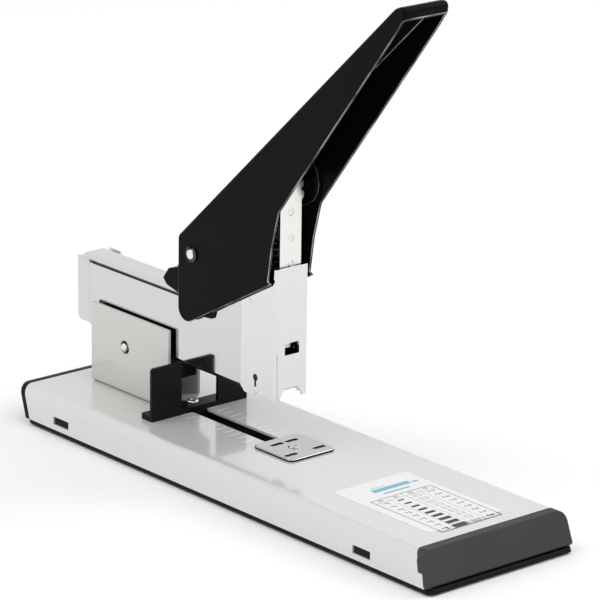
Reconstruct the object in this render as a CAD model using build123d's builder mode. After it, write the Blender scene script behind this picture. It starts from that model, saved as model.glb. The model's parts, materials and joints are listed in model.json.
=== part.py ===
from build123d import *

import os
from math import cos, radians, sin

# Heavy-duty desktop stapler with an adjustable paper guide, built piece by piece.
#
# Millimetres. +Z is up, +X points from the rear end to the front end of the base, and
# the origin is on the surface that the rubber feet stand on, at the middle of the base.
# Heights are from that surface, and lengths along the stapler are from its rear end.

# --- Driving dimensions -------------------------------------------------------------

BASE_LENGTH = 285.0
BASE_WIDTH = 84.0
BASE_TOP = 18.3
REAR = -BASE_LENGTH / 2

COVER_SHEET = 1.2
COVER_BOTTOM = 2.9
SHOULDER_R = 5.2

SLOT_WIDTH = 8.0
SLOT_ENDS = (REAR + 64.0, REAR + 136.0)
WINDOW_SIZE = (11.5, 3.8)
WINDOW_Z = 7.3
WINDOW_XS = (REAR + 32.1, REAR + 241.6)
FOOT_SPACING = (236.0, 62.0)
FOOT_R = 7.0

ANVIL_X = REAR + 148.7
ANVIL_SIZE = (26.6, 26.8)
ANVIL_TOP = 19.5
ANVIL_RIVET_R = 2.0
GROOVE_OFFSET = 7.2

BRACKET_OUTER = 12.6
BRACKET_SHEET = 1.5
BRACKET_TOP = 57.0
ARM_PIVOT = (REAR + 42.5, 40.9)
ARM_PIVOT_R = 2.5
BRACKET_RIVET_R = 1.5
BRACKET_RIVETS = [(REAR + x, y) for x in (26.0, 50.0) for y in (-6.5, 6.5)]
SPRING_SPOT = (REAR + 59.0, 0.0)
SPRING_TOP = 38.0

ARM_OUTER = 9.6
ARM_SHEET = 1.0
ARM_BOTTOM = 43.6
ARM_TOP = 74.0
RAIL_TOP = 76.2
REAR_CAP_TOP = 75.6
ARM_REAR = REAR + 3.2
CHANNEL_ENDS = (REAR + 12.2, REAR + 122.2)

HEAD_REAR = CHANNEL_ENDS[1]
HEAD_FRONT = REAR + 146.0
HEAD_BOTTOM = 41.8
HEAD_TOP = 102.4
SPRING_LEDGE = 88.0
FRAME_RIVET_R = 1.5
FRAME_RIVETS = ((REAR + 99.5, 79.0), (REAR + 108.5, 82.0))
HEAD_RIVETS = ((REAR + 117.5, 84.0), (REAR + 128.0, 84.0))

MAGAZINE_OUTER = 8.5
MAGAZINE_SHEET = 0.8
MAGAZINE_TOP = 74.6
MAGAZINE_FRONT = REAR + 142.6
CORE_OUTER = 5.4
CORE_TOP = 65.0
STAPLE_OUTER = 6.6
CORE_REAR = CHANNEL_ENDS[0] - 0.2
PUSHER_FRONT = REAR + 78.0
PUSHER_LENGTH = 12.0
LATCH_Z = 58.0

HANDLE_OUTER = 12.6
HANDLE_SHEET = 1.2
HANDLE_PIVOT = (REAR + 91.2, 97.5)
HANDLE_PIN_R = 2.25
HANDLE_SWING = 25.0
HANDLE_TOP_SLOPE = 42.7

DRIVER_STROKE = 26.0
DRIVER_FRONT = REAR + 144.4
DRIVER_SHEET = 1.4
DRIVER_HALF = 6.1
CROSS_PIN = (REAR + 138.0, 136.5)
CROSS_PIN_R = 2.5
DIMPLE_ZS = (103.3, 115.3, 127.2)

GUIDE_FRONT = REAR + 82.0
GUIDE_HALF = 27.9
GUIDE_TOP = 43.7
GUIDE_OPENING = 10.7
GUIDE_FOOT_TOP = 20.8
GUIDE_SHEET = 1.6
GUIDE_SCREW_X = GUIDE_FRONT - 5.2
GUIDE_SCREW_R = 1.5

RUNNING = 0.08


# --- Helpers ------------------------------------------------------------------------


def side_plane(y):
    """Plane for an outline in X and Z. Extruding goes from this Y towards -Y."""
    return Plane.XZ.offset(-y)


def from_rear(*points):
    """Points given as (distance from the rear end, height)."""
    return [(REAR + x, z) for x, z in points]


def outline(points):
    """Closed straight-sided face in the current sketch."""
    with BuildLine() as border:
        Polyline(points, close=True)
    make_face(border.edges())


def save(piece, name):
    """Label one finished piece and write it."""
    piece.part.label = name
    export_step(piece.part, f"parts/{name}.step")


def cover_section(inset, bottom):
    """Section of the base cover in Y and Z, with round shoulders."""
    half = BASE_WIDTH / 2 - inset
    top = BASE_TOP - inset
    outline([(-half, bottom), (-half + 0.4, top), (half - 0.4, top), (half, bottom)])
    fillet(vertices().group_by(Axis.Y)[-1], SHOULDER_R - inset)


def coil(radius, wire, bottom, top, turns, centre):
    """Round-wire compression spring standing on Z = bottom."""
    height = top - bottom - wire
    with BuildPart() as spring:
        with BuildLine() as path:
            Helix(height / turns, height, radius, center=(*centre, bottom + wire / 2))
        with BuildSketch(Plane(path.line @ 0, z_dir=path.line % 0)):
            Circle(wire / 2)
        sweep(path=path.line, is_frenet=True)
    return spring


# --- Base ---------------------------------------------------------------------------


def make_base_cover():
    """Pressed steel cover, open below and at both ends."""
    with BuildPart() as cover:
        with BuildSketch(Plane.YZ.offset(REAR)):
            cover_section(0, COVER_BOTTOM)
        extrude(amount=BASE_LENGTH)
        with BuildSketch(Plane.YZ.offset(REAR)):
            cover_section(COVER_SHEET, COVER_BOTTOM - 1)
        extrude(amount=BASE_LENGTH, mode=Mode.SUBTRACT)
        with BuildSketch(Plane.XZ):
            outline(from_rear((2.9, 20), (2.9, 18.3), (8.6, 2), (281.5, 2), (280.0, 9.3),
                              (277.3, 9.3), (276.1, 15.6), (273.4, 18.3), (273.4, 20)))
        extrude(amount=BASE_WIDTH, both=True, mode=Mode.INTERSECT)
        slot_length = SLOT_ENDS[1] - SLOT_ENDS[0]
        with BuildSketch(Plane.XY.offset(BASE_TOP)):
            with Locations(((SLOT_ENDS[0] + SLOT_ENDS[1]) / 2, 0)):
                Rectangle(slot_length, SLOT_WIDTH)
            with Locations((ANVIL_X, 0)):
                Circle(ANVIL_RIVET_R + RUNNING)
            with Locations(*BRACKET_RIVETS):
                Circle(BRACKET_RIVET_R)
        extrude(amount=-2 * COVER_SHEET, mode=Mode.SUBTRACT)
        with BuildSketch(Plane.XZ):
            with Locations(*[(x, WINDOW_Z) for x in WINDOW_XS]):
                Rectangle(*WINDOW_SIZE)
        extrude(amount=BASE_WIDTH, both=True, mode=Mode.SUBTRACT)
    return cover


def make_base_tray():
    """Plastic floor that closes the cover and clips into its side windows."""
    with BuildPart() as tray:
        with BuildSketch(Plane.XZ):
            outline(from_rear((6.2, 0.8), (5.5, 2.8), (284.2, 2.8), (BASE_LENGTH, 0.8)))
        extrude(amount=BASE_WIDTH / 2 - 0.3, both=True)
        fillet(tray.edges().filter_by(Axis.Z, tolerance=30), 3)
        with BuildSketch(Plane.XY.offset(0.8)):
            with GridLocations(FOOT_SPACING[0], FOOT_SPACING[1], 2, 2):
                Circle(FOOT_R)
        extrude(amount=0.8, mode=Mode.SUBTRACT)
        with BuildSketch(Plane.XY.offset(2.8)):
            for x in WINDOW_XS:
                with Locations((x, 39.4), (x, -39.4)):
                    Rectangle(22, 1.4)
        extrude(amount=9)
        with BuildSketch(Plane.XZ):
            with Locations(*[(x, WINDOW_Z) for x in WINDOW_XS]):
                Rectangle(WINDOW_SIZE[0] - 0.8, WINDOW_SIZE[1] - 0.8)
        extrude(amount=41.3, both=True)
        with BuildSketch(Plane.XY.offset(2.8)):
            Rectangle(BASE_LENGTH, 2 * 38.7)
        extrude(amount=9, mode=Mode.SUBTRACT)
    return tray


def make_cap_plug(points):
    """Rim of an end cap that enters the cover."""
    with BuildPart() as plug:
        with BuildSketch(Plane.YZ.offset(REAR)):
            cover_section(COVER_SHEET + 0.2, COVER_BOTTOM + 0.2)
        extrude(amount=BASE_LENGTH)
        with BuildSketch(Plane.YZ.offset(REAR)):
            cover_section(COVER_SHEET + 2.2, COVER_BOTTOM - 1)
        extrude(amount=BASE_LENGTH, mode=Mode.SUBTRACT)
        with BuildSketch(Plane.XZ):
            outline(from_rear(*points))
        extrude(amount=BASE_WIDTH, both=True, mode=Mode.INTERSECT)
    return plug


def make_end_cap(points, plug_points, round_edges):
    """Moulded cap on one end of the cover, with a rim that enters the cover."""
    plug = make_cap_plug(plug_points)
    with BuildPart() as cap:
        with BuildSketch(Plane.YZ.offset(REAR)):
            cover_section(-0.15, COVER_BOTTOM)
        extrude(amount=BASE_LENGTH)
        with BuildSketch(Plane.XZ):
            outline(from_rear(*points))
        extrude(amount=BASE_WIDTH, both=True, mode=Mode.INTERSECT)
        if round_edges:
            face = cap.faces().sort_by(Axis.X)[-1]
            fillet(face.edges().sort_by(Axis.Z)[1:], 1.4)
        add(plug.part)
    return cap


def make_rubber_feet():
    """Four round pads set into the tray."""
    with BuildPart() as feet:
        with BuildSketch(Plane.XY):
            with GridLocations(FOOT_SPACING[0], FOOT_SPACING[1], 2, 2):
                Circle(FOOT_R)
        extrude(amount=1.6)
        fillet(feet.faces().group_by(Axis.Z)[0].edges(), 0.3)
    return feet


def make_guide_rail():
    """Channel under the slot that the guide's slider runs in."""
    with BuildPart() as rail:
        with BuildSketch(Plane.YZ.offset(SLOT_ENDS[0] - 2)):
            with Locations((0, (11 + 17.1) / 2)):
                Rectangle(21, 6.1)
            with Locations((0, (12 + 18) / 2)):
                Rectangle(19, 6, mode=Mode.SUBTRACT)
        extrude(amount=SLOT_ENDS[1] - SLOT_ENDS[0] + 4)
    return rail


def make_size_label():
    """Rectangular sticker with the staple size table."""
    with BuildPart() as label:
        with BuildSketch(Plane.XY.offset(BASE_TOP)):
            with Locations((REAR + 232.5, -2.1)):
                RectangleRounded(62, 42.6, 2)
        extrude(amount=0.15)
    return label


# --- Stand bracket ------------------------------------------------------------------


def make_stand_bracket():
    """U-shaped steel bracket that carries the arm pivot between two uprights."""
    inner = BRACKET_OUTER - BRACKET_SHEET
    middle = (BASE_TOP + BRACKET_TOP) / 2
    with BuildPart() as bracket:
        with BuildSketch(Plane.YZ.offset(REAR + 10)):
            with Locations((0, middle)):
                Rectangle(2 * BRACKET_OUTER, BRACKET_TOP - BASE_TOP)
            fillet(vertices().group_by(Axis.Y)[0], 2.4)
            with Locations((0, middle + BRACKET_SHEET)):
                Rectangle(2 * inner, BRACKET_TOP - BASE_TOP, mode=Mode.SUBTRACT)
        extrude(amount=70)
        with BuildSketch(Plane.XZ):
            outline(from_rear((17.4, 18), (17.4, 57), (74.5, 57), (74.5, 37.5),
                              (66.5, 35.0), (66.5, 18)))
            fillet(vertices().group_by(Axis.Y)[-1], 0.6)
            with Locations(ARM_PIVOT):
                Circle(ARM_PIVOT_R, mode=Mode.SUBTRACT)
        extrude(amount=20, both=True, mode=Mode.INTERSECT)
        with BuildSketch(Plane.XY.offset(BASE_TOP)):
            with Locations(*BRACKET_RIVETS):
                Circle(BRACKET_RIVET_R)
        extrude(amount=BRACKET_SHEET, mode=Mode.SUBTRACT)
        rims = bracket.edges().filter_by(GeomType.CIRCLE)
        rims = rims.filter_by(lambda rim: abs(rim.radius - ARM_PIVOT_R) < 0.01).sort_by(Axis.Y)
        chamfer([rims[0], rims[-1]], 0.7)
    return bracket


def make_bracket_rivets():
    """Four rivets that hold the bracket's web to the cover."""
    with BuildPart() as rivets:
        for bottom, top, radius in ((15.9, 17.1, 2.7), (17.1, 19.8, BRACKET_RIVET_R), (19.8, 21.0, 2.7)):
            with BuildSketch(Plane.XY.offset(bottom)):
                with Locations(*BRACKET_RIVETS):
                    Circle(radius)
            extrude(amount=top - bottom)
        fillet(rivets.faces().group_by(Axis.Z)[-1].edges(), 0.7)
    return rivets


def make_arm_pivot_rivet():
    """Rivet through both uprights that the arm turns on."""
    with BuildPart() as rivet:
        with BuildSketch(side_plane(BRACKET_OUTER + 0.2)):
            with Locations(ARM_PIVOT):
                Circle(ARM_PIVOT_R)
        extrude(amount=2 * BRACKET_OUTER + 0.4)
        ends = rivet.edges().filter_by(GeomType.CIRCLE)
        fillet([ends.sort_by(Axis.Y)[0], ends.sort_by(Axis.Y)[-1]], 0.5)
    return rivet


def make_pivot_washers():
    """Thin washers between the uprights and the arm's walls."""
    with BuildPart() as washers:
        with BuildSketch(side_plane(BRACKET_OUTER - BRACKET_SHEET)):
            with Locations(ARM_PIVOT):
                Circle(5.0)
                Circle(ARM_PIVOT_R, mode=Mode.SUBTRACT)
        extrude(amount=BRACKET_OUTER - BRACKET_SHEET - ARM_OUTER - 0.1)
        mirror(about=Plane.XZ)
    return washers


# --- Anvil --------------------------------------------------------------------------


def make_anvil_plate():
    """Turning plate with one pair of pockets for each way of bending the legs."""
    bottom = BASE_TOP + 0.1
    with BuildPart() as plate:
        with BuildSketch(Plane.XY.offset(bottom)):
            with Locations((ANVIL_X, 0)):
                RectangleRounded(*ANVIL_SIZE, 3)
                Circle(ANVIL_RIVET_R, mode=Mode.SUBTRACT)
        extrude(amount=ANVIL_TOP - bottom)
        rim = plate.faces().sort_by(Axis.Z)[-1].outer_wire().edges()
        fillet(rim, 0.4)
        with BuildSketch(Plane.XY.offset(ANVIL_TOP)):
            with Locations((ANVIL_X - GROOVE_OFFSET, 4.2), (ANVIL_X - GROOVE_OFFSET, -4.2)):
                SlotOverall(7.2, 2.8, rotation=90)
            with Locations((ANVIL_X + GROOVE_OFFSET, 8.2), (ANVIL_X + GROOVE_OFFSET, -8.2)):
                SlotOverall(7.2, 2.8, rotation=90)
        extrude(amount=-0.6, mode=Mode.SUBTRACT)
    return plate


def make_anvil_rivet():
    """Shouldered rivet that turns with the anvil plate."""
    with BuildPart() as rivet:
        for bottom, top, radius in ((15.2, 16.0, 3.6), (16.0, 19.5, ANVIL_RIVET_R), (19.5, 20.1, 2.9)):
            with BuildSketch(Plane.XY.offset(bottom)):
                with Locations((ANVIL_X, 0)):
                    Circle(radius)
            extrude(amount=top - bottom)
        fillet(rivet.faces().sort_by(Axis.Z)[-1].edges(), 0.4)
        with BuildSketch(Plane.XY.offset(20.1)):
            with Locations((ANVIL_X, 0)):
                Circle(1.1)
        extrude(amount=-0.4, mode=Mode.SUBTRACT)
    return rivet


def make_anvil_washer():
    """Spring washer that presses the anvil plate down on the cover."""
    with BuildPart() as washer:
        with BuildSketch(Plane.XY.offset(16.0)):
            with Locations((ANVIL_X, 0)):
                Circle(5.0)
                Circle(ANVIL_RIVET_R, mode=Mode.SUBTRACT)
        extrude(amount=1.0)
    return washer


# --- Paper guide --------------------------------------------------------------------


def make_paper_guide():
    """Upright stop on each side of the arm, joined by a foot across the base."""
    with BuildPart() as guide:
        with BuildSketch(Plane.YZ.offset(GUIDE_FRONT - 8.5)):
            with Locations((0, (BASE_TOP + 0.1 + GUIDE_FOOT_TOP) / 2)):
                Rectangle(2 * GUIDE_HALF, GUIDE_FOOT_TOP - BASE_TOP - 0.1)
        extrude(amount=8.5)
        with BuildSketch(Plane.YZ.offset(GUIDE_FRONT - GUIDE_SHEET)):
            with Locations((0, (20 + GUIDE_TOP) / 2)):
                Rectangle(2 * GUIDE_HALF, GUIDE_TOP - 20)
            fillet(vertices().group_by(Axis.Y)[-1], 1.6)
            with Locations((0, (GUIDE_FOOT_TOP + 50) / 2)):
                Rectangle(2 * GUIDE_OPENING, 50 - GUIDE_FOOT_TOP, mode=Mode.SUBTRACT)
        extrude(amount=GUIDE_SHEET)
        with BuildSketch(Plane.XY.offset(BASE_TOP)):
            with Locations((GUIDE_SCREW_X, 0)):
                Circle(GUIDE_SCREW_R)
        extrude(amount=4, mode=Mode.SUBTRACT)
        corners = guide.edges().filter_by(Axis.Z).group_by(Axis.X)[0]
        fillet(corners, 1.5)
    return guide


def make_guide_slider():
    """T-shaped slider that runs in the slot and holds the guide down."""
    with BuildPart() as slider:
        with BuildSketch(Plane.YZ.offset(GUIDE_FRONT - 11)):
            with Locations((0, (12.4 + 16.8) / 2)):
                Rectangle(17.6, 4.4)
            with Locations((0, (12.4 + BASE_TOP + 0.1) / 2)):
                Rectangle(SLOT_WIDTH - 0.6, BASE_TOP + 0.1 - 12.4)
        extrude(amount=12)
        with BuildSketch(Plane.XY.offset(BASE_TOP + 0.1)):
            with Locations((GUIDE_SCREW_X, 0)):
                Circle(GUIDE_SCREW_R)
        extrude(amount=-5, mode=Mode.SUBTRACT)
    return slider


def make_guide_screw():
    """Pan-head screw that joins the guide to its slider."""
    with BuildPart() as screw:
        with BuildSketch(Plane.XY.offset(GUIDE_FOOT_TOP)):
            with Locations((GUIDE_SCREW_X, 0)):
                Circle(2.8)
        extrude(amount=1.5)
        fillet(screw.faces().sort_by(Axis.Z)[-1].edges(), 0.8)
        with BuildSketch(Plane.XY.offset(GUIDE_FOOT_TOP + 1.5)):
            with Locations((GUIDE_SCREW_X, 0)):
                Rectangle(3.4, 0.7)
                Rectangle(0.7, 3.4)
        extrude(amount=-0.7, mode=Mode.SUBTRACT)
        with BuildSketch(Plane.XY.offset(GUIDE_FOOT_TOP)):
            with Locations((GUIDE_SCREW_X, 0)):
                Circle(GUIDE_SCREW_R)
        extrude(amount=GUIDE_FOOT_TOP - BASE_TOP + 4.7, dir=(0, 0, -1))
    return screw


# --- Arm ----------------------------------------------------------------------------


def make_arm_channel():
    """Plated outer channel of the arm, open at the top, taller under the handle."""
    middle = (ARM_BOTTOM + 100) / 2
    with BuildPart() as channel:
        with BuildSketch(Plane.YZ.offset(CHANNEL_ENDS[0])):
            with Locations((0, middle)):
                Rectangle(2 * ARM_OUTER, 100 - ARM_BOTTOM)
            fillet(vertices().group_by(Axis.Y)[0], 0.8)
            with Locations((0, middle + ARM_SHEET)):
                Rectangle(2 * (ARM_OUTER - ARM_SHEET), 100 - ARM_BOTTOM, mode=Mode.SUBTRACT)
        extrude(amount=CHANNEL_ENDS[1] - CHANNEL_ENDS[0])
        with BuildSketch(Plane.XZ):
            outline(from_rear((12.2, 43), (12.2, ARM_TOP), (86, ARM_TOP), (98, 90), (122.2, 100), (122.2, 43)))
        extrude(amount=20, both=True, mode=Mode.INTERSECT)
        with BuildSketch(side_plane(ARM_OUTER)):
            outline(from_rear((32, 46), (32, 42.6), (37.5, 36.4), (47.5, 36.4), (51, 42.6), (51, 46)))
            fillet(vertices().group_by(Axis.Y)[0], 3)
        extrude(amount=ARM_SHEET)
        with BuildSketch(side_plane(-ARM_OUTER + ARM_SHEET)):
            outline(from_rear((32, 46), (32, 42.6), (37.5, 36.4), (47.5, 36.4), (51, 42.6), (51, 46)))
            fillet(vertices().group_by(Axis.Y)[0], 3)
        extrude(amount=ARM_SHEET)
        with BuildSketch(Plane.XY.offset(ARM_BOTTOM)):
            with Locations((ARM_PIVOT[0], 0)):
                Rectangle(7.6, 2 * (ARM_OUTER - ARM_SHEET))
        extrude(amount=ARM_SHEET, mode=Mode.SUBTRACT)
        with BuildSketch(Plane.XZ):
            with Locations(ARM_PIVOT):
                Circle(ARM_PIVOT_R + RUNNING)
            with Locations(*FRAME_RIVETS, HEAD_RIVETS[0]):
                Circle(FRAME_RIVET_R)
        extrude(amount=20, both=True, mode=Mode.SUBTRACT)
    return channel


def make_pivot_bush():
    """Tube between the arm's ears that turns on the pivot rivet."""
    half = ARM_OUTER - ARM_SHEET
    with BuildPart() as bush:
        with BuildSketch(side_plane(half)):
            with Locations(ARM_PIVOT):
                Circle(3.6)
                Circle(ARM_PIVOT_R + RUNNING, mode=Mode.SUBTRACT)
        extrude(amount=2 * half)
    return bush


def make_spring_seat():
    """Plastic strip under the arm with a cup for the lift spring."""
    with BuildPart() as seat:
        with BuildSketch(side_plane(8.3)):
            outline(from_rear((52, 29.8), (69, 29.8), (69, 42.2), (121.5, 42.2), (121.5, 43.6), (52, 43.6)))
            fillet(vertices().group_by(Axis.Y)[0], 1.5)
        extrude(amount=16.6)
        with BuildSketch(Plane.XY.offset(25)):
            with Locations(SPRING_SPOT):
                Circle(6.2)
        extrude(amount=SPRING_TOP - 25, mode=Mode.SUBTRACT)
    return seat


def make_magazine_channel():
    """Inner channel that the staples run in, reaching to the driver."""
    start = CHANNEL_ENDS[0]
    floor = ARM_BOTTOM + ARM_SHEET
    height = MAGAZINE_TOP - floor
    inner = MAGAZINE_OUTER - MAGAZINE_SHEET
    with BuildPart() as channel:
        with BuildSketch(Plane.YZ.offset(start)):
            with Locations((0, floor + height / 2)):
                Rectangle(2 * MAGAZINE_OUTER, height)
            with Locations((0, floor + height / 2 + MAGAZINE_SHEET)):
                Rectangle(2 * inner, height, mode=Mode.SUBTRACT)
        extrude(amount=MAGAZINE_FRONT - start)
    return channel


def make_top_rail():
    """Round-shouldered rail that closes the top of the arm behind the handle."""
    with BuildPart() as rail:
        with BuildSketch(Plane.YZ.offset(ARM_REAR + 0.4)):
            with Locations((0, RAIL_TOP - 2.8)):
                Rectangle(15.2, 5.6)
            fillet(vertices().group_by(Axis.Y)[-1], 3)
            with Locations((0, RAIL_TOP - 3.8)):
                Rectangle(13.2, 5.6, mode=Mode.SUBTRACT)
        extrude(amount=REAR + 110 - ARM_REAR - 0.4)
    return rail


def make_head_housing():
    """Plated U-shaped front of the arm that the driver runs in."""
    with BuildPart() as housing:
        with BuildSketch(Plane.XY.offset(HEAD_BOTTOM - 1)):
            with Locations(((HEAD_REAR + HEAD_FRONT) / 2, 0)):
                Rectangle(HEAD_FRONT - HEAD_REAR, 2 * ARM_OUTER)
            fillet(vertices().group_by(Axis.X)[-1], 1.8)
            with Locations(((HEAD_REAR + HEAD_FRONT) / 2 - ARM_SHEET, 0)):
                Rectangle(HEAD_FRONT - HEAD_REAR, 2 * (ARM_OUTER - ARM_SHEET), mode=Mode.SUBTRACT)
        extrude(amount=HEAD_TOP - HEAD_BOTTOM + 1)
        with BuildSketch(Plane.XZ):
            outline(from_rear((122.2, 103), (122.2, 43.6), (125.0, 41.0), (131.5, 41.0), (135.6, 44.2),
                              (139.5, 41.8), (147, 41.8), (147, 103)))
            fillet(vertices().group_by(Axis.Y)[0], 1.6)
            with Locations((REAR + 132.5, 49.6)):
                Circle(1.6, mode=Mode.SUBTRACT)
            with Locations((REAR + 132.5, 45.0)):
                Rectangle(1.3, 9.2, mode=Mode.SUBTRACT)
        extrude(amount=20, both=True, mode=Mode.INTERSECT)
        with BuildSketch(Plane.YZ.offset(HEAD_FRONT - 1.5)):
            with Locations((0.15, 64.75)):
                Rectangle(8.3, 5.5)
            outline([(-6.4, 40), (-6.4, 42.6), (-3.8, 46.4), (3.6, 46.4), (6.2, 42.6), (6.2, 40)])
        extrude(amount=2, mode=Mode.SUBTRACT)
        with BuildSketch(Plane.XZ):
            with Locations(HEAD_RIVETS[1]):
                Circle(FRAME_RIVET_R)
        extrude(amount=20, both=True, mode=Mode.SUBTRACT)
    return housing


def make_driver_guide():
    """Block inside the head that guides the driver and carries its spring."""
    half = ARM_OUTER - ARM_SHEET - 0.1
    front = DRIVER_FRONT - DRIVER_SHEET - 0.1
    with BuildPart() as block:
        with BuildSketch(side_plane(half)):
            outline([(REAR + 113, 77), (front, 77), (front, SPRING_LEDGE), (REAR + 113, SPRING_LEDGE)])
        extrude(amount=2 * half)
        with BuildSketch(Plane.XY.offset(SPRING_LEDGE)):
            with Locations(((REAR + 131 + front) / 2, 7.4), ((REAR + 131 + front) / 2, -7.4)):
                Rectangle(front - REAR - 131, 2 * (half - 7.4))
        extrude(amount=HEAD_TOP - 0.6 - SPRING_LEDGE)
        with BuildSketch(Plane.XZ):
            with Locations(*HEAD_RIVETS):
                Circle(FRAME_RIVET_R)
        extrude(amount=20, both=True, mode=Mode.SUBTRACT)
    return block


def make_pivot_frame():
    """Black frame over the arm that holds the handle's pivot pin."""
    outer = HANDLE_OUTER - HANDLE_SHEET - 0.45
    with BuildPart() as frame:
        with BuildSketch(side_plane(outer)):
            outline(from_rear((68.5, 80.8), (72.4, 86.1), (78.7, 88.1), (84.5, 101), (91.2, 105.2),
                              (97.9, 101.5), (116, 82), (115.8, 79.6), (104.3, 73.0), (103.2, 69.7),
                              (95, 69.0), (79, 76.2), (71, 78.1)))
            with Locations(HANDLE_PIVOT):
                Circle(HANDLE_PIN_R, mode=Mode.SUBTRACT)
            with Locations(*FRAME_RIVETS):
                Circle(FRAME_RIVET_R, mode=Mode.SUBTRACT)
        extrude(amount=outer - ARM_OUTER - 0.05)
        mirror(about=Plane.XZ)
        with BuildSketch(side_plane(outer)):
            outline(from_rear((72.4, 86.1), (78.7, 88.1), (79.1, 86.9), (73.1, 85.0)))
        extrude(amount=2 * outer)
    return frame


def make_frame_rivets():
    """Rivets that join the pivot frame to the arm's walls."""
    outer = HANDLE_OUTER - HANDLE_SHEET - 0.45
    inner = ARM_OUTER - ARM_SHEET
    with BuildPart() as rivets:
        with BuildSketch(side_plane(outer)):
            with Locations(*FRAME_RIVETS):
                Circle(FRAME_RIVET_R)
        extrude(amount=outer - inner)
        with BuildSketch(side_plane(inner)):
            with Locations(*FRAME_RIVETS):
                Circle(FRAME_RIVET_R + 0.9)
        extrude(amount=0.8)
        mirror(about=Plane.XZ)
    return rivets


def make_head_rivets():
    """Cross rivets through the driver guide, the arm's walls and the head."""
    half = ARM_OUTER + 0.1
    with BuildPart() as rivets:
        with BuildSketch(side_plane(half)):
            with Locations(*HEAD_RIVETS):
                Circle(FRAME_RIVET_R)
        extrude(amount=2 * half)
    return rivets


def make_handle_pin():
    """Pin that the handle turns on, grooved for its retaining rings."""
    with BuildPart() as pin:
        with BuildSketch(side_plane(14.1)):
            with Locations(HANDLE_PIVOT):
                Circle(HANDLE_PIN_R)
        extrude(amount=28.2)
        chamfer(pin.edges().filter_by(GeomType.CIRCLE), 0.3)
        with BuildSketch(side_plane(13.5)):
            with Locations(HANDLE_PIVOT):
                Circle(HANDLE_PIN_R)
                Circle(HANDLE_PIN_R - 0.5, mode=Mode.SUBTRACT)
        extrude(amount=0.7, mode=Mode.SUBTRACT)
        with BuildSketch(side_plane(-12.8)):
            with Locations(HANDLE_PIVOT):
                Circle(HANDLE_PIN_R)
                Circle(HANDLE_PIN_R - 0.5, mode=Mode.SUBTRACT)
        extrude(amount=0.7, mode=Mode.SUBTRACT)
    return pin


def make_retaining_rings():
    """E-shaped rings in the pin's grooves, open to one side."""
    with BuildPart() as rings:
        with BuildSketch(side_plane(13.5)):
            with Locations(HANDLE_PIVOT):
                Circle(3.6)
                Circle(HANDLE_PIN_R + 0.15, mode=Mode.SUBTRACT)
            with Locations((HANDLE_PIVOT[0], HANDLE_PIVOT[1] + 3)):
                Rectangle(2.2, 4, mode=Mode.SUBTRACT)
            for turn in (-30, 210):
                tooth = (HANDLE_PIVOT[0] + HANDLE_PIN_R * cos(radians(turn)),
                         HANDLE_PIVOT[1] + HANDLE_PIN_R * sin(radians(turn)))
                with Locations(tooth):
                    Rectangle(0.7, 0.9, rotation=turn)
        extrude(amount=0.7)
        mirror(about=Plane.XZ)
    return rings


# --- Magazine rail that pulls out ----------------------------------------------------


def make_core_rail():
    """Rail inside the staples that their crowns sit on."""
    with BuildPart() as rail:
        with BuildSketch(Plane.YZ.offset(CORE_REAR)):
            with Locations((0, (48.8 + CORE_TOP) / 2)):
                Rectangle(2 * CORE_OUTER, CORE_TOP - 48.8)
            fillet(vertices().group_by(Axis.Y)[-1], 0.8)
            with Locations((0, (48.8 + CORE_TOP) / 2 - 1)):
                Rectangle(2 * (CORE_OUTER - 1), CORE_TOP - 48.8, mode=Mode.SUBTRACT)
        extrude(amount=MAGAZINE_FRONT - 0.2 - CORE_REAR)
    return rail


def make_rear_cap():
    """Plated end of the rail, flush with the arm's walls."""
    with BuildPart() as cap:
        with BuildSketch(side_plane(ARM_OUTER)):
            outline([(ARM_REAR, 44.6), (ARM_REAR, REAR_CAP_TOP),
                     (CHANNEL_ENDS[0] - 0.2, REAR_CAP_TOP), (CHANNEL_ENDS[0] - 0.2, 44.6)])
            fillet(vertices().group_by(Axis.X)[0].sort_by(Axis.Y)[0], 3)
        extrude(amount=2 * ARM_OUTER)
        with BuildSketch(Plane.XY.offset(44)):
            with Locations((ARM_REAR + ARM_SHEET + 10, 0)):
                Rectangle(20, 2 * (ARM_OUTER - ARM_SHEET))
        extrude(amount=40, mode=Mode.SUBTRACT)
        with BuildSketch(Plane.YZ.offset(ARM_REAR - 1)):
            with Locations((0, 75.4)):
                Rectangle(2 * (ARM_OUTER - ARM_SHEET), 11)
            with Locations((0, LATCH_Z)):
                Rectangle(2 * 4.3, 8.6)
        extrude(amount=2.5, mode=Mode.SUBTRACT)
    return cap


def make_rail_block():
    """Moulded block that joins the rail to its plated end."""
    with BuildPart() as block:
        with BuildSketch(side_plane(ARM_OUTER - ARM_SHEET)):
            outline([(ARM_REAR + ARM_SHEET, 48), (ARM_REAR + ARM_SHEET, 69.7),
                     (CORE_REAR, 69.7), (CORE_REAR, 46.5), (ARM_REAR + 3, 46.5)])
        extrude(amount=2 * (ARM_OUTER - ARM_SHEET))
        with BuildSketch(Plane.YZ.offset(ARM_REAR)):
            with Locations((0, LATCH_Z)):
                Rectangle(2 * 4.3, 8.6)
        extrude(amount=7, mode=Mode.SUBTRACT)
    return block


def make_rail_latch():
    """Push button in the rear face that frees the rail."""
    with BuildPart() as latch:
        with BuildSketch(Plane.YZ.offset(ARM_REAR - 2.2)):
            with Locations((0, LATCH_Z)):
                RectangleRounded(2 * 4.0, 8.0, 1.2)
        extrude(amount=5.5)
        fillet(latch.faces().sort_by(Axis.X)[0].edges(), 0.6)
    return latch


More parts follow.
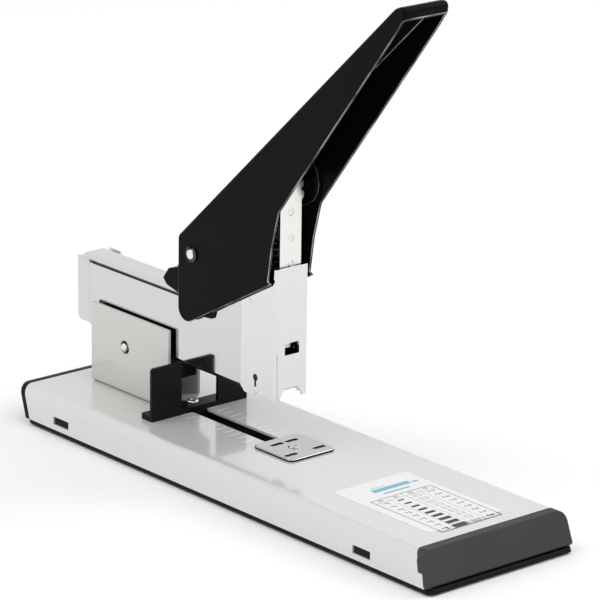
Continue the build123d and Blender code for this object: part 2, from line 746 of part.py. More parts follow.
def make_staple_strip():
    """Glued strip of staples standing over the core rail."""
    with BuildPart() as strip:
        with BuildSketch(Plane.YZ.offset(PUSHER_FRONT + 0.1)):
            with Locations((0, (47 + CORE_TOP + 1.1) / 2)):
                Rectangle(2 * STAPLE_OUTER, CORE_TOP + 1.1 - 47)
            fillet(vertices().group_by(Axis.Y)[-1], 0.9)
            with Locations((0, (46 + CORE_TOP + 0.1) / 2)):
                Rectangle(2 * (CORE_OUTER + 0.1), CORE_TOP + 0.1 - 46, mode=Mode.SUBTRACT)
        extrude(amount=MAGAZINE_FRONT - 0.3 - PUSHER_FRONT)
    return strip


def make_staple_pusher():
    """Follower that rides over the core rail and presses on the strip."""
    with BuildPart() as pusher:
        with BuildSketch(Plane.YZ.offset(PUSHER_FRONT - PUSHER_LENGTH)):
            with Locations((0, (46.2 + 68.5) / 2)):
                Rectangle(14.2, 22.3)
            with Locations((0, (48.0 + CORE_TOP + 0.4) / 2)):
                Rectangle(2 * (CORE_OUTER + 0.3), CORE_TOP + 0.4 - 48.0, mode=Mode.SUBTRACT)
            with Locations((0, (47 + 60.5) / 2)):
                Rectangle(7.8, 13.5)
        extrude(amount=PUSHER_LENGTH)
    return pusher


def make_pusher_spring():
    """Spring inside the core rail, between the end block and the follower."""
    start = CORE_REAR + 0.1
    length = PUSHER_FRONT - PUSHER_LENGTH - 0.1 - start
    wire = 0.7
    with BuildPart() as spring:
        with BuildLine() as path:
            Helix(4.2, length - wire, 3.2, center=(start + wire / 2, 0, 55.5), direction=(1, 0, 0))
        with BuildSketch(Plane(path.line @ 0, z_dir=path.line % 0)):
            Circle(wire / 2)
        sweep(path=path.line, is_frenet=True)
    return spring


# --- Handle -------------------------------------------------------------------------


def top_edge(x, inset):
    """Height of the handle's straight top edge, moved inwards by inset."""
    slope = radians(HANDLE_TOP_SLOPE)
    return 104.5 + (x - REAR - 81.3) * sin(slope) / cos(slope) - inset / cos(slope)


def handle_outline():
    """Side outline of the handle, from the rear corner round the nose and back."""
    nose_start = REAR + 221.5
    with BuildLine() as border:
        top = Line((REAR + 81.3, top_edge(REAR + 81.3, 0)), (nose_start, top_edge(nose_start, 0)))
        crown = TangentArc(top @ 1, (REAR + 227.1, 236.2), tangent=top % 1)
        tip = TangentArc(crown @ 1, (REAR + 229.6, 233.5), tangent=crown % 1)
        lip = Line(tip @ 1, (REAR + 229.3, 231.2))
        beak = Polyline(lip @ 1, *from_rear((227.4, 229.4), (224.4, 224.9)))
        front = Line(beak @ 1, (REAR + 150.6, 130.3))
        Polyline(front @ 1, *from_rear((146.3, 114.0), (143.8, 97.5), (145.9, 96.4), (81.3, 60.6)), top @ 0)
    make_face(border.edges())
    ground = vertices().sort_by(Axis.Y)
    fillet(ground[0], 6)
    for corner, radius in (((150.6, 130.3), 6), ((224.4, 224.9), 8)):
        fillet(vertices().sort_by_distance((REAR + corner[0], corner[1]))[0], radius)


def make_handle():
    """Folded sheet lever: two walls joined along the top edge and the nose."""
    inner = HANDLE_OUTER - HANDLE_SHEET
    with BuildPart() as handle:
        with BuildSketch(side_plane(HANDLE_OUTER)):
            handle_outline()
        extrude(amount=2 * HANDLE_OUTER)
        with BuildSketch(side_plane(inner)):
            ends = REAR + 70, REAR + 221.7
            outline([*((x, top_edge(x, HANDLE_SHEET)) for x in ends),
                     *from_rear((226.2, 234.8), (228.2, 232.8), (228.2, 226), (260, 200)),
                     *from_rear((170, 60), (70, 50))])
        extrude(amount=2 * inner, mode=Mode.SUBTRACT)
        rim = handle.edges().filter_by(Plane.XZ).group_by(Axis.Y)
        for side in (rim[0], rim[-1]):
            fillet(side.sort_by(SortBy.LENGTH)[-1], 1.6)
        with BuildSketch(Plane.XZ):
            with Locations(HANDLE_PIVOT):
                Circle(HANDLE_PIN_R + RUNNING)
        extrude(amount=20, both=True, mode=Mode.SUBTRACT)
    return handle


def cam_point(share):
    """Cross pin's centre on the handle when that share of the swing is done."""
    turn = radians(HANDLE_SWING * share)
    x = CROSS_PIN[0] - HANDLE_PIVOT[0]
    z = CROSS_PIN[1] - HANDLE_PIVOT[1] - DRIVER_STROKE * share
    return (HANDLE_PIVOT[0] + x * cos(turn) - z * sin(turn),
            HANDLE_PIVOT[1] + x * sin(turn) + z * cos(turn))


def make_cam_plates():
    """Plates inside the handle whose curved slots push the cross pin down."""
    inner = HANDLE_OUTER - HANDLE_SHEET
    with BuildLine() as path:
        ThreePointArc(cam_point(0), cam_point(0.5), cam_point(1))
    with BuildPart() as plates:
        with BuildSketch(side_plane(inner)):
            with Locations((REAR + 140.0, 139.3)):
                Circle(11)
            with Locations(cam_point(1)):
                Circle(7.5)
            make_hull()
            SlotArc(path.edges()[0], 2 * CROSS_PIN_R + 0.7, mode=Mode.SUBTRACT)
        extrude(amount=inner - ARM_OUTER - 0.4)
        mirror(about=Plane.XZ)
    return plates


# --- Driver -------------------------------------------------------------------------


def make_driver_blade():
    """Flat blade that drives one staple, with a waisted head."""
    with BuildPart() as blade:
        with BuildSketch(Plane.YZ.offset(DRIVER_FRONT - DRIVER_SHEET)):
            outline([(-DRIVER_HALF, 69), (DRIVER_HALF, 69), (DRIVER_HALF, 131.6), (7.4, 132.8),
                     (7.4, 135.4), (5.6, 136.2), (5.6, 137.0), (7.0, 138.0), (7.0, 140.6),
                     (-7.0, 140.6), (-7.0, 138.0), (-5.6, 137.0), (-5.6, 136.2), (-7.4, 135.4),
                     (-7.4, 132.8), (-DRIVER_HALF, 131.6)])
            fillet(vertices().group_by(Axis.Y)[-1], 1.0)
        extrude(amount=DRIVER_SHEET)
        with BuildSketch(Plane.YZ.offset(DRIVER_FRONT)):
            with Locations(*[(0, z) for z in DIMPLE_ZS]):
                Circle(1.7)
        extrude(amount=-0.4, mode=Mode.SUBTRACT)
        with BuildSketch(Plane.YZ.offset(DRIVER_FRONT - 0.4)):
            with Locations(*[(0, z) for z in DIMPLE_ZS]):
                Circle(0.9)
        extrude(amount=0.3)
    return blade


def make_driver_carrier():
    """Block behind the blade that carries the cross pin."""
    back = DRIVER_FRONT - DRIVER_SHEET
    with BuildPart() as carrier:
        with BuildSketch(side_plane(5.5)):
            outline([(REAR + 132.5, 124), (back, 124), (back, 141), (REAR + 135, 141), (REAR + 132.5, 138)])
            fillet(vertices().group_by(Axis.X)[0], 1)
            with Locations(CROSS_PIN):
                Circle(CROSS_PIN_R, mode=Mode.SUBTRACT)
        extrude(amount=11)
        with BuildSketch(side_plane(5.5)):
            outline([(back - 1.6, 114.5), (back, 114.5), (back, 124), (back - 1.6, 124)])
        extrude(amount=11)
    return carrier


def make_cross_pin():
    """Pin with two collars, running in the handle's cam slots."""
    with BuildPart() as pin:
        with BuildSketch(side_plane(11.1)):
            with Locations(CROSS_PIN):
                Circle(CROSS_PIN_R)
        extrude(amount=22.2)
        chamfer(pin.edges().filter_by(GeomType.CIRCLE), 0.3)
        with BuildSketch(side_plane(9.0)):
            with Locations(CROSS_PIN):
                Circle(4.0)
        extrude(amount=1.4)
        with BuildSketch(side_plane(-7.6)):
            with Locations(CROSS_PIN):
                Circle(4.0)
        extrude(amount=1.4)
    return pin


# --- Write every piece --------------------------------------------------------------


def make_all():
    """Make and write every piece in turn."""
    os.makedirs("parts", exist_ok=True)
    rear_cap_points = ((0, 18.5), (0, 18.4), (5.5, 2.9), (8.1, 2.9), (2.8, 18.4), (2.8, 18.5))
    front_cap_points = ((273.5, 18.6), (278.2, 18.6), (283.9, 2.9), (281.3, 2.9), (280.1, 9.4),
                        (277.4, 9.4), (276.2, 15.6), (273.5, 18.3))
    rear_plug_points = ((1, 18), (9, 18), (15, 3), (6.5, 3))
    front_plug_points = ((266, 18), (275, 18), (283, 3), (272, 3))
    pieces = {
        "base_cover": make_base_cover(),
        "base_tray": make_base_tray(),
        "rear_end_cap": make_end_cap(rear_cap_points, rear_plug_points, False),
        "front_end_cap": make_end_cap(front_cap_points, front_plug_points, True),
        "rubber_feet": make_rubber_feet(),
        "guide_rail": make_guide_rail(),
        "size_label": make_size_label(),
        "stand_bracket": make_stand_bracket(),
        "bracket_rivets": make_bracket_rivets(),
        "arm_pivot_rivet": make_arm_pivot_rivet(),
        "pivot_washers": make_pivot_washers(),
        "arm_lift_spring": coil(4.4, 1.3, 19.8, SPRING_TOP, 7, SPRING_SPOT),
        "anvil_plate": make_anvil_plate(),
        "anvil_rivet": make_anvil_rivet(),
        "anvil_spring_washer": make_anvil_washer(),
        "paper_guide": make_paper_guide(),
        "guide_slider": make_guide_slider(),
        "guide_screw": make_guide_screw(),
        "arm_channel": make_arm_channel(),
        "arm_pivot_bush": make_pivot_bush(),
        "spring_seat": make_spring_seat(),
        "magazine_channel": make_magazine_channel(),
        "top_rail": make_top_rail(),
        "head_housing": make_head_housing(),
        "driver_guide": make_driver_guide(),
        "pivot_frame": make_pivot_frame(),
        "frame_rivets": make_frame_rivets(),
        "head_rivets": make_head_rivets(),
        "handle_pivot_pin": make_handle_pin(),
        "retaining_rings": make_retaining_rings(),
        "driver_return_spring": coil(3.6, 0.9, SPRING_LEDGE, 124, 12, (REAR + 137.3, 0)),
        "staple_core_rail": make_core_rail(),
        "magazine_rear_cap": make_rear_cap(),
        "rail_block": make_rail_block(),
        "rail_latch": make_rail_latch(),
        "staple_strip": make_staple_strip(),
        "staple_pusher": make_staple_pusher(),
        "pusher_spring": make_pusher_spring(),
        "handle_lever": make_handle(),
        "cam_plates": make_cam_plates(),
        "driver_blade": make_driver_blade(),
        "driver_carrier": make_driver_carrier(),
        "cross_pin": make_cross_pin(),
    }
    for name, piece in pieces.items():
        save(piece, name)


make_all()
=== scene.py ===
import json
import math

import bmesh
import bpy
from mathutils import Matrix, Vector


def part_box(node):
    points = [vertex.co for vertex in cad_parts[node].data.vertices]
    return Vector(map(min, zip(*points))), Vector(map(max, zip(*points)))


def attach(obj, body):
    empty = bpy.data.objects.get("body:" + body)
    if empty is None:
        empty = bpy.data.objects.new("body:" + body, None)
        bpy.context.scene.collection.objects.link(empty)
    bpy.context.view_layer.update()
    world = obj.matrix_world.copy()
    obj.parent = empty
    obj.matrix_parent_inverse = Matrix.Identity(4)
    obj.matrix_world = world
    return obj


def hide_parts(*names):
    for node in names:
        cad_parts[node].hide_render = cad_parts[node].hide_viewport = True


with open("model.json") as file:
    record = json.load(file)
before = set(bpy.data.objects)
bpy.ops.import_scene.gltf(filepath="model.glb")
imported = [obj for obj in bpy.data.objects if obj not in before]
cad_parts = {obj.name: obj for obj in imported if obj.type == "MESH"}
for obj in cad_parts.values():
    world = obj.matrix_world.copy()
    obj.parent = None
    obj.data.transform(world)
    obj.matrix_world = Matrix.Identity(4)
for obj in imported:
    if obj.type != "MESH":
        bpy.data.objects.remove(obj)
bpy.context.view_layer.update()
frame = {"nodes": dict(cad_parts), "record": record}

bl_info = {
    "name": "Heavy-duty stapler",
    "version": (1, 0, 0),
    "blender": (4, 5, 0),
    "location": "View3D > Sidebar > Stapler",
    "description": "Finishes, printed marks and rounded edges for a long reach desktop stapler",
    "category": "Add Mesh",
}

MM = 0.001
MERGE = 2e-6
FLAT = math.radians(0.4)
SHARP = math.radians(28)
BODY_OF = {node: body for body, nodes in frame["record"]["behaviour"]["bodies"].items() for node in nodes}

RIVET_LOW, RIVET_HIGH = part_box("arm_pivot_rivet")
COVER_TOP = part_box("base_cover")[1].z
LABEL_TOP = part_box("size_label")[1].z
ANVIL_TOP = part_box("anvil_plate")[1].z
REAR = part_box("base_tray")[0].x

# Half widths, heights and radii that divide one piece into its finish and a darker painted shade, where
# gaps, holes and pockets lie in shade.
BRACKET_SHADE_HALF_WIDTH = 11.25 * MM
BRACKET_SHADE_FROM = 38 * MM
RIVET_HOLE_SHADE = 3.15 * MM
ARM_INNER_SHADE = 8.7 * MM
POCKET_SHADE_DEPTH = 0.35 * MM

# Roundings in millimetres of the pieces that are neither plain sheet nor moulded.
EDGES = {
    "guide_rail": 0.2, "size_label": 0.03, "anvil_plate": 0.12, "anvil_rivet": 0.12,
    "guide_slider": 0.2, "guide_screw": 0.1, "arm_channel": 0.22, "top_rail": 0.2,
    "head_housing": 0.22, "magazine_channel": 0.15, "driver_guide": 0.2,
    "handle_pivot_pin": 0.12, "retaining_rings": 0.1, "magazine_rear_cap": 0.22,
    "rail_block": 0.3, "rail_latch": 0.3, "staple_core_rail": 0.15, "staple_pusher": 0.3,
    "handle_lever": 0.45, "cam_plates": 0.2, "driver_blade": 0.15, "driver_carrier": 0.25,
    "cross_pin": 0.15,
}

# Lamps: name, place, point they face, size in metres and power in watts.
LAMPS = (
    ("key", (-0.9, -1.6, 2.3), (0, 0, 0.05), 1.6, 17),
    ("fill", (2.2, -0.4, 1.6), (0.05, 0, 0.08), 1.5, 9),
    ("rim", (0.7, 1.5, 1.3), (0.2, 0.2, 0.0), 1.0, 9),
)
SKY_STRENGTH = 0.82
FLOOR_COLOUR = (0.94, 0.94, 0.94, 1)

# Camera: turn, rise and roll in degrees, place in metres, lens and sensor in millimetres.
CAMERA_ANGLES = (49.32, 17.59, 0.78)
CAMERA_PLACE = (1.2778, -1.0909, 0.6190)
CAMERA_LENS = 239.88
CAMERA_SENSOR = 36


# --- Settings -----------------------------------------------------------------------


class StaplerSizes(bpy.types.PropertyGroup):
    """Sizes of the rounded edges and printed marks."""

    sheet_edge: bpy.props.FloatProperty(
        name="Sheet edge", description="Rounding of a cut sheet edge", default=0.28 * MM,
        min=0.0, unit="LENGTH", precision=5)
    moulded_edge: bpy.props.FloatProperty(
        name="Moulded edge", description="Rounding of a moulded plastic edge", default=0.35 * MM,
        min=0.0, unit="LENGTH", precision=5)
    scale_pitch: bpy.props.FloatProperty(
        name="Scale pitch", description="Distance between the depth marks beside the slot",
        default=5 * MM, min=0.001, unit="LENGTH", precision=4)
    scale_marks: bpy.props.IntProperty(
        name="Scale marks", description="How many depth marks each side has", default=11, min=1)
    print_height: bpy.props.FloatProperty(
        name="Print height", description="How far the print stands off its surface",
        default=0.02 * MM, min=0.0, unit="LENGTH", precision=6)
    table_columns: bpy.props.IntProperty(
        name="Table columns", description="Staple sizes listed on the sticker", default=9, min=1)


class StaplerColours(bpy.types.PropertyGroup):
    """Base colours of the finishes."""

    cover: bpy.props.FloatVectorProperty(
        name="Cover", description="Enamel on the base", subtype="COLOR", size=4,
        default=(0.66, 0.665, 0.645, 1), min=0, max=1)
    bracket: bpy.props.FloatVectorProperty(
        name="Bracket", description="Enamel on the stand bracket", subtype="COLOR", size=4,
        default=(0.55, 0.565, 0.535, 1), min=0, max=1)
    plating: bpy.props.FloatVectorProperty(
        name="Plating", description="Bright plated steel", subtype="COLOR", size=4,
        default=(0.62, 0.63, 0.64, 1), min=0, max=1)
    nickel: bpy.props.FloatVectorProperty(
        name="Nickel", description="Satin plating on the driver", subtype="COLOR", size=4,
        default=(0.80, 0.795, 0.77, 1), min=0, max=1)
    lacquer: bpy.props.FloatVectorProperty(
        name="Lacquer", description="Black lacquer on the handle", subtype="COLOR", size=4,
        default=(0.003, 0.003, 0.0032, 1), min=0, max=1)
    plastic: bpy.props.FloatVectorProperty(
        name="Plastic", description="Black moulded plastic", subtype="COLOR", size=4,
        default=(0.004, 0.004, 0.0042, 1), min=0, max=1)
    # The end cap is the same black plastic as the tray; this lighter grey is painted light on the lit front
    # cap.
    cap: bpy.props.FloatVectorProperty(
        name="End cap", description="Dark grey moulded end cap", subtype="COLOR", size=4,
        default=(0.036, 0.035, 0.033, 1), min=0, max=1)


def sizes():
    return bpy.context.scene.stapler_sizes


def colours():
    return bpy.context.scene.stapler_colours


# --- Node groups shared by the finishes ---------------------------------------------


def new_group(name, inputs, outputs):
    """Empty shader node group with named sockets, and its two end nodes."""
    group = bpy.data.node_groups.new(name, "ShaderNodeTree")
    for kind, label, value in inputs:
        socket = group.interface.new_socket(name=label, in_out="INPUT", socket_type=kind)
        socket.default_value = value
    for kind, label in outputs:
        group.interface.new_socket(name=label, in_out="OUTPUT", socket_type=kind)
    return group, group.nodes.new("NodeGroupInput"), group.nodes.new("NodeGroupOutput")


def surface_grain_group():
    """Slow and fine noise on the piece's own coordinates, for roughness and bump."""
    group, entry, leave = new_group(
        "surface_grain",
        [("NodeSocketVector", "Stretch", (1, 1, 1)), ("NodeSocketFloat", "Fine Scale", 2500),
         ("NodeSocketFloat", "Smooth", 0.2), ("NodeSocketFloat", "Rough", 0.3)],
        [("NodeSocketFloat", "Roughness"), ("NodeSocketFloat", "Height"), ("NodeSocketFloat", "Mask")])
    link = group.links.new
    place = group.nodes.new("ShaderNodeTexCoord")
    scale = group.nodes.new("ShaderNodeVectorMath")
    scale.operation = "MULTIPLY"
    link(place.outputs["Object"], scale.inputs[0])
    link(entry.outputs["Stretch"], scale.inputs[1])
    slow = group.nodes.new("ShaderNodeTexNoise")
    slow.inputs["Scale"].default_value = 45
    slow.inputs["Detail"].default_value = 5
    slow.inputs["Roughness"].default_value = 0.6
    link(scale.outputs[0], slow.inputs["Vector"])
    fine = group.nodes.new("ShaderNodeTexNoise")
    fine.inputs["Detail"].default_value = 3
    link(scale.outputs[0], fine.inputs["Vector"])
    link(entry.outputs["Fine Scale"], fine.inputs["Scale"])
    blend = group.nodes.new("ShaderNodeMath")
    blend.operation = "MULTIPLY_ADD"
    blend.inputs[1].default_value = 0.35
    link(fine.outputs["Fac"], blend.inputs[0])
    link(slow.outputs["Fac"], blend.inputs[2])
    spread = group.nodes.new("ShaderNodeMapRange")
    spread.inputs["From Min"].default_value = 0.5
    spread.inputs["From Max"].default_value = 0.85
    link(blend.outputs[0], spread.inputs["Value"])
    link(entry.outputs["Smooth"], spread.inputs["To Min"])
    link(entry.outputs["Rough"], spread.inputs["To Max"])
    link(spread.outputs["Result"], leave.inputs["Roughness"])
    link(fine.outputs["Fac"], leave.inputs["Height"])
    link(slow.outputs["Fac"], leave.inputs["Mask"])
    return group


def wear_and_edge_highlight_group():
    """Colour that turns to bare metal along the rounded edges, partly wear and partly a painted highlight
    along the edges, and slow mottling.
    """
    group, entry, leave = new_group(
        "wear_and_edge_highlight",
        [("NodeSocketColor", "Colour", (0.5, 0.5, 0.5, 1)), ("NodeSocketColor", "Bare And Highlight", (0.6, 0.6, 0.6, 1)),
         ("NodeSocketFloat", "Wear And Highlight", 0.5), ("NodeSocketFloat", "Mottle", 0.05)],
        [("NodeSocketColor", "Colour"), ("NodeSocketFloat", "Worn And Highlit")])
    link = group.links.new
    place = group.nodes.new("ShaderNodeTexCoord")
    patches = group.nodes.new("ShaderNodeTexNoise")
    patches.inputs["Scale"].default_value = 130
    patches.inputs["Detail"].default_value = 6
    link(place.outputs["Object"], patches.inputs["Vector"])
    clouds = group.nodes.new("ShaderNodeTexNoise")
    clouds.inputs["Scale"].default_value = 18
    clouds.inputs["Detail"].default_value = 3
    link(place.outputs["Object"], clouds.inputs["Vector"])
    edge = group.nodes.new("ShaderNodeAttribute")
    edge.attribute_name = "edge"
    ragged = group.nodes.new("ShaderNodeMapRange")
    ragged.inputs["From Min"].default_value = 0.25
    ragged.inputs["From Max"].default_value = 0.62
    link(patches.outputs["Fac"], ragged.inputs["Value"])
    worn_and_highlit = group.nodes.new("ShaderNodeMath")
    worn_and_highlit.operation = "MULTIPLY"
    link(edge.outputs["Fac"], worn_and_highlit.inputs[0])
    link(ragged.outputs["Result"], worn_and_highlit.inputs[1])
    amount = group.nodes.new("ShaderNodeMath")
    amount.operation = "MULTIPLY"
    amount.use_clamp = True
    link(worn_and_highlit.outputs[0], amount.inputs[0])
    link(entry.outputs["Wear And Highlight"], amount.inputs[1])
    shade = group.nodes.new("ShaderNodeMath")
    shade.operation = "SUBTRACT"
    shade.inputs[1].default_value = 0.5
    link(clouds.outputs["Fac"], shade.inputs[0])
    gain = group.nodes.new("ShaderNodeMath")
    gain.operation = "MULTIPLY_ADD"
    gain.inputs[2].default_value = 1.0
    link(shade.outputs[0], gain.inputs[0])
    link(entry.outputs["Mottle"], gain.inputs[1])
    tinted = group.nodes.new("ShaderNodeVectorMath")
    tinted.operation = "SCALE"
    link(entry.outputs["Colour"], tinted.inputs[0])
    link(gain.outputs[0], tinted.inputs["Scale"])
    mix = group.nodes.new("ShaderNodeMix")
    mix.data_type = "RGBA"
    link(amount.outputs[0], mix.inputs["Factor"])
    link(tinted.outputs[0], mix.inputs["A"])
    link(entry.outputs["Bare And Highlight"], mix.inputs["B"])
    link(mix.outputs["Result"], leave.inputs["Colour"])
    link(amount.outputs[0], leave.inputs["Worn And Highlit"])
    return group


def band_mask_group():
    """Mask of 1 within Half Width of the middle plane and above Lowest."""
    group, entry, leave = new_group(
        "band_mask",
        [("NodeSocketFloat", "Half Width", 0.01), ("NodeSocketFloat", "Lowest", 0.0)],
        [("NodeSocketFloat", "Mask")])
    link = group.links.new
    place = group.nodes.new("ShaderNodeTexCoord")
    parts = group.nodes.new("ShaderNodeSeparateXYZ")
    link(place.outputs["Object"], parts.inputs[0])
    size = group.nodes.new("ShaderNodeMath")
    size.operation = "ABSOLUTE"
    link(parts.outputs["Y"], size.inputs[0])
    inside = group.nodes.new("ShaderNodeMath")
    inside.operation = "LESS_THAN"
    link(size.outputs[0], inside.inputs[0])
    link(entry.outputs["Half Width"], inside.inputs[1])
    above = group.nodes.new("ShaderNodeMath")
    above.operation = "GREATER_THAN"
    link(parts.outputs["Z"], above.inputs[0])
    link(entry.outputs["Lowest"], above.inputs[1])
    both = group.nodes.new("ShaderNodeMath")
    both.operation = "MULTIPLY"
    link(inside.outputs[0], both.inputs[0])
    link(above.outputs[0], both.inputs[1])
    link(both.outputs[0], leave.inputs["Mask"])
    return group


GROUPS = {}


def group_of(name):
    """The shared node group of that name, made once."""
    makers = {"surface_grain": surface_grain_group, "wear_and_edge_highlight": wear_and_edge_highlight_group,
              "band_mask": band_mask_group}
    if name not in GROUPS:
        GROUPS[name] = makers[name]()
    return GROUPS[name]


# --- Finishes -----------------------------------------------------------------------


class Finish:
    """A Principled material with grain, mottling, edge wear with painted edge highlights, and a fine bump.
    """

    def __init__(self, name, colour, smooth, rough, metallic=0.0, coat=0.0, coat_roughness=0.05,
                 specular=0.5, stretch=(1, 1, 1), fine=2500, bump=0.1, bump_depth=0.01 * MM,
                 bare_and_highlight=(0.62, 0.62, 0.62, 1), wear_and_highlight=0.0, mottle=0.06):
        self.material = bpy.data.materials.new(name)
        self.material.use_nodes = True
        self.tree = self.material.node_tree
        self.shader = self.tree.nodes["Principled BSDF"]
        self.shader.inputs["Metallic"].default_value = metallic
        self.shader.inputs["Coat Weight"].default_value = coat
        self.shader.inputs["Coat Roughness"].default_value = coat_roughness
        self.shader.inputs["Specular IOR Level"].default_value = specular
        grain = self.add_group("surface_grain")
        grain.inputs["Stretch"].default_value = stretch
        grain.inputs["Fine Scale"].default_value = fine
        grain.inputs["Smooth"].default_value = smooth
        grain.inputs["Rough"].default_value = rough
        self.link(grain.outputs["Roughness"], self.shader.inputs["Roughness"])
        self.wear_and_highlight = self.add_group("wear_and_edge_highlight")
        self.wear_and_highlight.inputs["Colour"].default_value = colour
        self.wear_and_highlight.inputs["Bare And Highlight"].default_value = bare_and_highlight
        self.wear_and_highlight.inputs["Wear And Highlight"].default_value = wear_and_highlight
        self.wear_and_highlight.inputs["Mottle"].default_value = mottle
        self.link(self.wear_and_highlight.outputs["Colour"], self.shader.inputs["Base Color"])
        if wear_and_highlight and metallic < 1:
            self.link(self.wear_and_highlight.outputs["Worn And Highlit"], self.shader.inputs["Metallic"])
        relief = self.tree.nodes.new("ShaderNodeBump")
        relief.inputs["Strength"].default_value = bump
        relief.inputs["Distance"].default_value = bump_depth
        self.link(grain.outputs["Height"], relief.inputs["Height"])
        self.link(relief.outputs["Normal"], self.shader.inputs["Normal"])

    def add_group(self, name):
        node = self.tree.nodes.new("ShaderNodeGroup")
        node.node_tree = group_of(name)
        return node

    def link(self, start, end):
        self.tree.links.new(start, end)

    def shade_where(self, mask, dark):
        """Paints shade: turns the base colour to the dark one where the mask is 1."""
        mix = self.tree.nodes.new("ShaderNodeMix")
        mix.data_type = "RGBA"
        mix.inputs["B"].default_value = dark
        before = self.shader.inputs["Base Color"].links[0].from_socket
        self.link(mask, mix.inputs["Factor"])
        self.link(before, mix.inputs["A"])
        self.link(mix.outputs["Result"], self.shader.inputs["Base Color"])

    def band(self, half_width, lowest=-1.0):
        """Mask of the inner side of a pair of walls, above a height."""
        node = self.add_group("band_mask")
        node.inputs["Half Width"].default_value = half_width
        node.inputs["Lowest"].default_value = lowest
        return node.outputs["Mask"]

    def below(self, height):
        """Mask of everything under a height."""
        place = self.tree.nodes.new("ShaderNodeTexCoord")
        parts = self.tree.nodes.new("ShaderNodeSeparateXYZ")
        under = self.tree.nodes.new("ShaderNodeMath")
        under.operation = "LESS_THAN"
        under.inputs[1].default_value = height
        self.link(place.outputs["Object"], parts.inputs[0])
        self.link(parts.outputs["Z"], under.inputs[0])
        return under.outputs[0]

    def round_spot(self, centre, radius):
        """Mask of a round spot seen along Y."""
        place = self.tree.nodes.new("ShaderNodeTexCoord")
        shift = self.tree.nodes.new("ShaderNodeVectorMath")
        shift.operation = "SUBTRACT"
        shift.inputs[1].default_value = (centre[0], 0, centre[1])
        flat = self.tree.nodes.new("ShaderNodeVectorMath")
        flat.operation = "MULTIPLY"
        flat.inputs[1].default_value = (1, 0, 1)
        far = self.tree.nodes.new("ShaderNodeVectorMath")
        far.operation = "LENGTH"
        inside = self.tree.nodes.new("ShaderNodeMath")
        inside.operation = "LESS_THAN"
        inside.inputs[1].default_value = radius
        self.link(place.outputs["Object"], shift.inputs[0])
        self.link(shift.outputs[0], flat.inputs[0])
        self.link(flat.outputs[0], far.inputs[0])
        self.link(far.outputs["Value"], inside.inputs[0])
        return inside.outputs[0]


FINISHES = {}


def finish_of(name):
    """The material of that finish, made once."""
    if name not in FINISHES:
        FINISHES[name] = make_finish(name).material
    return FINISHES[name]


